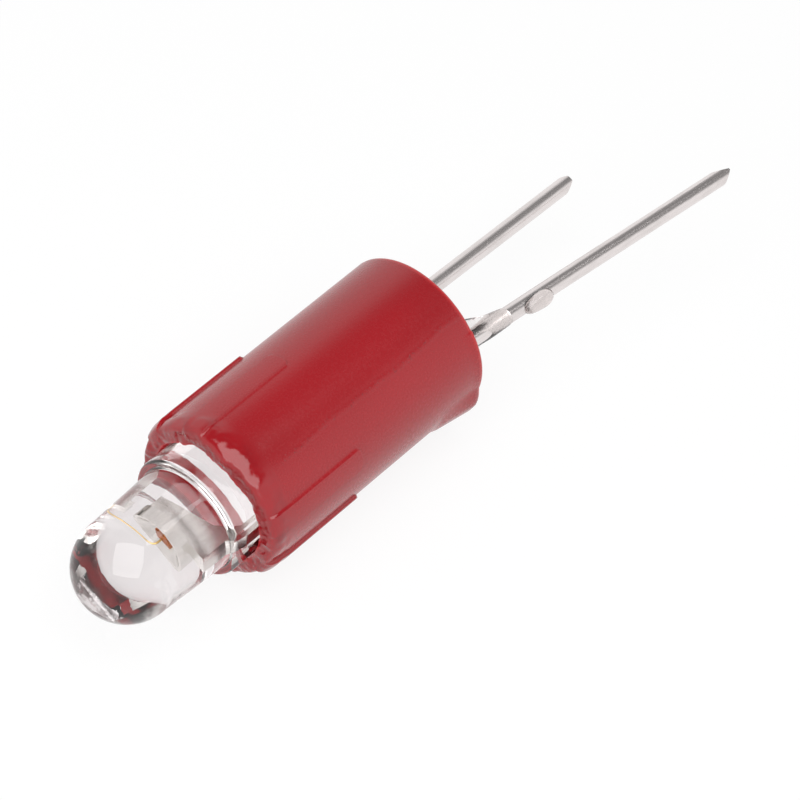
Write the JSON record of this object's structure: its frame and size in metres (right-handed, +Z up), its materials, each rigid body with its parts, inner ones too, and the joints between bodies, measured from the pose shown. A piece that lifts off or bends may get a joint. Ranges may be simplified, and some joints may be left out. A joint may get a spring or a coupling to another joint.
{
  "type": "led indicator lamp",
  "caption": "Clear domed LED in a red ribbed push-in sleeve, with a keying lug at its rear edge and two resin-potted wire leads.",
  "frame": {"origin": "centre of the sleeve's mouth face, where the LED leaves it", "axes": "+X along the lamp's axis from the mouth to the leads, the dome points along -X; +Z up as the lamp lies on two gripping ribs"},
  "size_m": [0.0234, 0.0054, 0.0048],
  "materials": {
    "red_plastic": "satin moulded red, slightly translucent",
    "clear_epoxy": "water-clear cast epoxy, polished",
    "lead_frame": "silver plated stamping",
    "silver_glue": "silver filled adhesive",
    "chip": "sawn semiconductor, orange brown",
    "gold_wire": "drawn gold",
    "ceramic_rod": "plain fired ceramic",
    "cap_metal": "tinned pressed cap",
    "resistor_lacquer": "beige lacquer",
    "tinned_wire": "tinned, dull bright with fine draw marks",
    "solder": "reflowed solder",
    "clear_resin": "clear potting resin, slightly hazy"
  },
  "bodies": {
    "root": {"housing_sleeve": "red_plastic", "led_lens": "clear_epoxy", "cathode_frame": "lead_frame", "anode_frame": "lead_frame", "chip_glue": "silver_glue", "led_chip": "chip", "bond_wire": "gold_wire", "resistor_rod": "ceramic_rod", "resistor_front_cap": "cap_metal", "resistor_rear_cap": "cap_metal", "resistor_coat": "resistor_lacquer", "resistor_front_lead": "tinned_wire", "short_lead": "tinned_wire", "long_lead": "tinned_wire", "anode_solder": "solder", "cathode_solder": "solder", "potting_resin": "clear_resin", "resin_drop": "clear_resin"}
  },
  "joints": []
}
